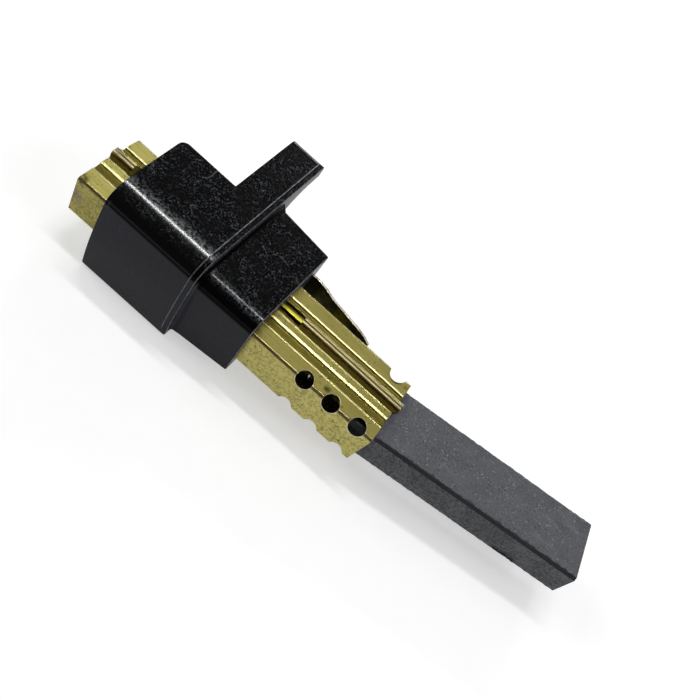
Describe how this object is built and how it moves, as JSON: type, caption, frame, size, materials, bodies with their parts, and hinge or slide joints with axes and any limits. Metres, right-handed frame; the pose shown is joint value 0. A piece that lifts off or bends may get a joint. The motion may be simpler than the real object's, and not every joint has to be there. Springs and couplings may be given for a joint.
{
  "type": "carbon brush",
  "caption": "Carbon brush assembly for a universal motor: phenolic holder with a side ear, folded brass tube, contact leaf and a spring-fed carbon block.",
  "frame": {"origin": "centre of the back face of the holder's main block, under the axis of the brass tube", "axes": "+X along the tube from its closed end to the carbon, +Y towards the ear, +Z out of the wide seam side of the tube and the holder's front face"},
  "size_m": [0.0951, 0.0334, 0.0183],
  "materials": {
    "phenolic": "semi-gloss",
    "brass_sheet": "satin, tarnished",
    "carbon": "ground, matte",
    "spring_steel": "drawn wire",
    "copper": "stranded wire"
  },
  "bodies": {
    "holder": {"holder_body": "phenolic", "brush_tube": "brass_sheet", "contact_leaf": "brass_sheet"},
    "feed": {"brush_spring": "spring_steel", "shunt_wire": "copper"},
    "brush": {"carbon_block": "carbon", "shunt_plug": "copper"}
  },
  "joints": [
    {"name": "brush_travel", "type": "slide", "parent": "holder", "child": "feed", "axis": [1, 0, 0], "range_m": [-0.027, 0], "stiffness_N_per_m": 45, "springref_m": 0.015, "deforming": ["brush_spring", "shunt_wire"]},
    {"name": "brush_straighten", "type": "hinge", "parent": "feed", "child": "brush", "pos_m": [0.03535, -0.00074, 0.0082], "axis": [0, 0, 1], "range_deg": [-8.5, 0]}
  ],
  "couplings": [
    {"joint": "brush_straighten", "follows": "brush_travel", "rad_per_m": 5.4945}
  ]
}
